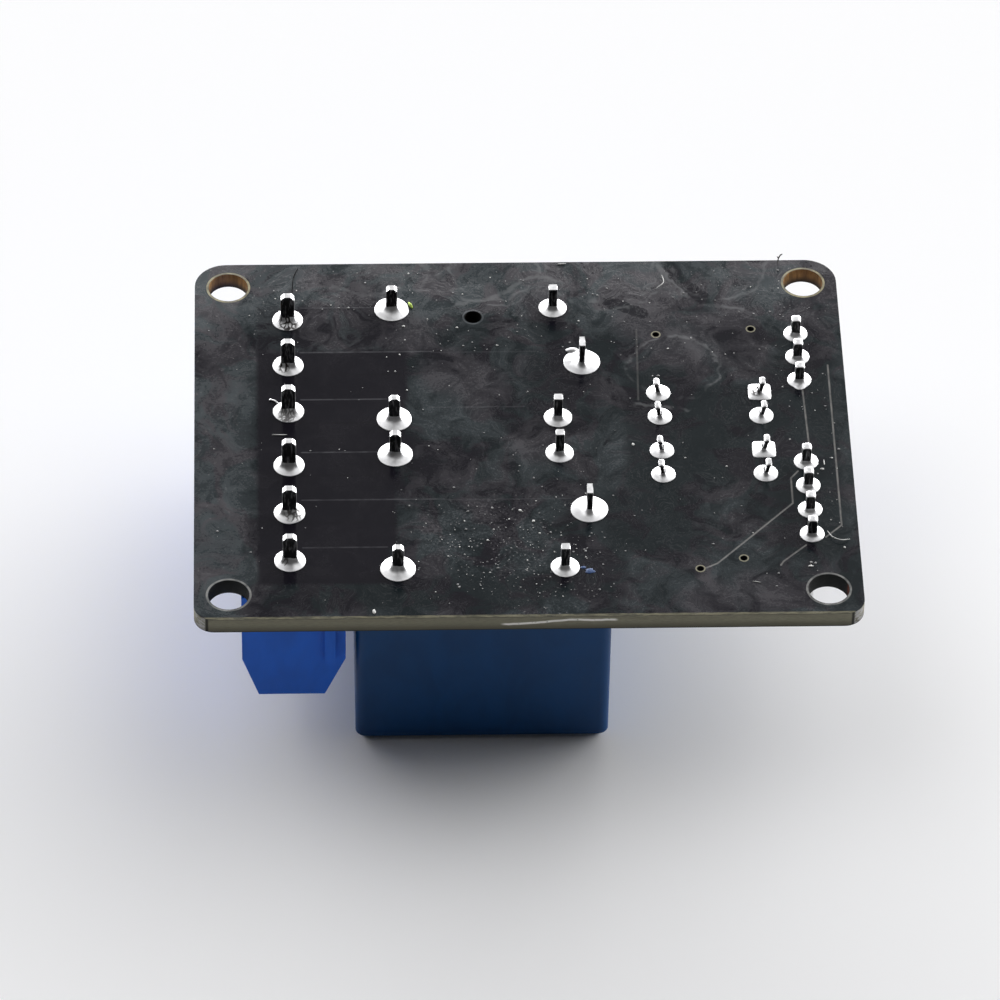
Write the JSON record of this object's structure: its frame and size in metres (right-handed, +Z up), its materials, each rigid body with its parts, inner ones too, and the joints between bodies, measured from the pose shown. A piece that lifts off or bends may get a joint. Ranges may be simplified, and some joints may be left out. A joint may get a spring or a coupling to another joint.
{
  "type": "relay module board",
  "caption": "Two-channel relay board, seen from its solder side, with screw terminals, optocouplers and pin headers on the side below.",
  "frame": {"origin": "middle of the board in X and Y, on the plane of the relay tops that the board stands on", "axes": "+X from the screw terminals to the pin headers, +Y across the board away from the picture's camera, +Z up through the solder side"},
  "size_m": [0.049, 0.038, 0.0191],
  "materials": {
    "board": "glossy solder mask with flux marks",
    "solder": "bright hand-touched solder",
    "tinned": "tin plate",
    "terminal_blue": "satin moulding",
    "relay_blue": "satin moulding",
    "base_black": "matt moulding",
    "bobbin_white": "matt moulding",
    "copper_wire": "enamelled wire",
    "iron": "plated soft iron",
    "spring_bronze": "rolled strip",
    "nickel": "nickel plate",
    "zinc_screw": "zinc plate",
    "chip_plastic": "matt moulding",
    "chip_ceramic": "glazed ceramic",
    "header_plastic": "matt moulding",
    "cap_plastic": "satin moulding",
    "lamp_lens": "clear resin"
  },
  "bodies": {
    "board": {"circuit_board": "board", "terminal_solder": "solder", "relay_solder": "solder", "optocoupler_solder": "solder", "header_solder": "solder", "terminal_1_housing": "terminal_blue", "terminal_1_contacts": "tinned", "optocoupler_1_body": "chip_plastic", "optocoupler_1_leads": "tinned", "terminal_2_housing": "terminal_blue", "terminal_2_contacts": "tinned", "optocoupler_2_body": "chip_plastic", "optocoupler_2_leads": "tinned", "relay_a_cover": "relay_blue", "relay_a_base": "base_black", "relay_a_bobbin": "bobbin_white", "relay_a_winding": "copper_wire", "relay_a_core": "iron", "relay_a_yoke": "iron", "relay_a_open_contact": "spring_bronze", "relay_a_closed_contact": "spring_bronze", "relay_a_coil_pins": "tinned", "relay_a_common_pin": "spring_bronze", "relay_b_cover": "relay_blue", "relay_b_base": "base_black", "relay_b_bobbin": "bobbin_white", "relay_b_winding": "copper_wire", "relay_b_core": "iron", "relay_b_yoke": "iron", "relay_b_open_contact": "spring_bronze", "relay_b_closed_contact": "spring_bronze", "relay_b_coil_pins": "tinned", "relay_b_common_pin": "spring_bronze", "link_header_body": "header_plastic", "link_header_pins": "tinned", "signal_header_body": "header_plastic", "signal_header_pins": "tinned", "diodes": "chip_plastic", "transistors": "chip_plastic", "lamps": "lamp_lens", "resistors": "chip_ceramic"},
    "screw_1": {"terminal_screw_1": "zinc_screw"},
    "cage_1": {"terminal_cage_1": "nickel"},
    "screw_2": {"terminal_screw_2": "zinc_screw"},
    "cage_2": {"terminal_cage_2": "nickel"},
    "screw_3": {"terminal_screw_3": "zinc_screw"},
    "cage_3": {"terminal_cage_3": "nickel"},
    "screw_4": {"terminal_screw_4": "zinc_screw"},
    "cage_4": {"terminal_cage_4": "nickel"},
    "screw_5": {"terminal_screw_5": "zinc_screw"},
    "cage_5": {"terminal_cage_5": "nickel"},
    "screw_6": {"terminal_screw_6": "zinc_screw"},
    "cage_6": {"terminal_cage_6": "nickel"},
    "armature_a": {"relay_a_armature": "iron", "relay_a_contact_spring": "spring_bronze"},
    "armature_b": {"relay_b_armature": "iron", "relay_b_contact_spring": "spring_bronze"},
    "link": {"link_cap": "cap_plastic", "link_clip": "spring_bronze"}
  },
  "joints": [
    {"name": "terminal_screw_1_turn", "type": "hinge", "parent": "board", "child": "screw_1", "pos_m": [-0.01745, 0.01273, 0.0072], "axis": [0, 0, 1], "range_deg": [0, 1521]},
    {"name": "terminal_cage_1_rise", "type": "slide", "parent": "board", "child": "cage_1", "axis": [0, 0, -1], "range_m": [0, 0.0019]},
    {"name": "terminal_screw_2_turn", "type": "hinge", "parent": "board", "child": "screw_2", "pos_m": [-0.01745, 0.00773, 0.0072], "axis": [0, 0, 1], "range_deg": [0, 1521]},
    {"name": "terminal_cage_2_rise", "type": "slide", "parent": "board", "child": "cage_2", "axis": [0, 0, -1], "range_m": [0, 0.0019]},
    {"name": "terminal_screw_3_turn", "type": "hinge", "parent": "board", "child": "screw_3", "pos_m": [-0.01745, 0.00273, 0.0072], "axis": [0, 0, 1], "range_deg": [0, 1521]},
    {"name": "terminal_cage_3_rise", "type": "slide", "parent": "board", "child": "cage_3", "axis": [0, 0, -1], "range_m": [0, 0.0019]},
    {"name": "terminal_screw_4_turn", "type": "hinge", "parent": "board", "child": "screw_4", "pos_m": [-0.01745, -0.00303, 0.0072], "axis": [0, 0, 1], "range_deg": [0, 1521]},
    {"name": "terminal_cage_4_rise", "type": "slide", "parent": "board", "child": "cage_4", "axis": [0, 0, -1], "range_m": [0, 0.0019]},
    {"name": "terminal_screw_5_turn", "type": "hinge", "parent": "board", "child": "screw_5", "pos_m": [-0.01745, -0.00803, 0.0072], "axis": [0, 0, 1], "range_deg": [0, 1521]},
    {"name": "terminal_cage_5_rise", "type": "slide", "parent": "board", "child": "cage_5", "axis": [0, 0, -1], "range_m": [0, 0.0019]},
    {"name": "terminal_screw_6_turn", "type": "hinge", "parent": "board", "child": "screw_6", "pos_m": [-0.01745, -0.01303, 0.0072], "axis": [0, 0, 1], "range_deg": [0, 1521]},
    {"name": "terminal_cage_6_rise", "type": "slide", "parent": "board", "child": "cage_6", "axis": [0, 0, -1], "range_m": [0, 0.0019]},
    {"name": "relay_a_armature_swing", "type": "hinge", "parent": "board", "child": "armature_a", "pos_m": [0.00452, 0.00783, 0.0048], "axis": [0, 1, 0], "range_deg": [0, 3.2], "stiffness_Nm_per_rad": 0.02, "springref_deg": -2.86},
    {"name": "relay_b_armature_swing", "type": "hinge", "parent": "board", "child": "armature_b", "pos_m": [0.00452, -0.00796, 0.0048], "axis": [0, 1, 0], "range_deg": [0, 3.2], "stiffness_Nm_per_rad": 0.02, "springref_deg": -2.86},
    {"name": "link_cap_pull", "type": "slide", "parent": "board", "child": "link", "axis": [0, 0, -1], "range_m": [0, 0.0062]}
  ],
  "couplings": [
    {"joint": "terminal_screw_1_turn", "follows": "terminal_cage_1_rise", "rad_per_m": 13963},
    {"joint": "terminal_screw_2_turn", "follows": "terminal_cage_2_rise", "rad_per_m": 13963},
    {"joint": "terminal_screw_3_turn", "follows": "terminal_cage_3_rise", "rad_per_m": 13963},
    {"joint": "terminal_screw_4_turn", "follows": "terminal_cage_4_rise", "rad_per_m": 13963},
    {"joint": "terminal_screw_5_turn", "follows": "terminal_cage_5_rise", "rad_per_m": 13963},
    {"joint": "terminal_screw_6_turn", "follows": "terminal_cage_6_rise", "rad_per_m": 13963}
  ]
}
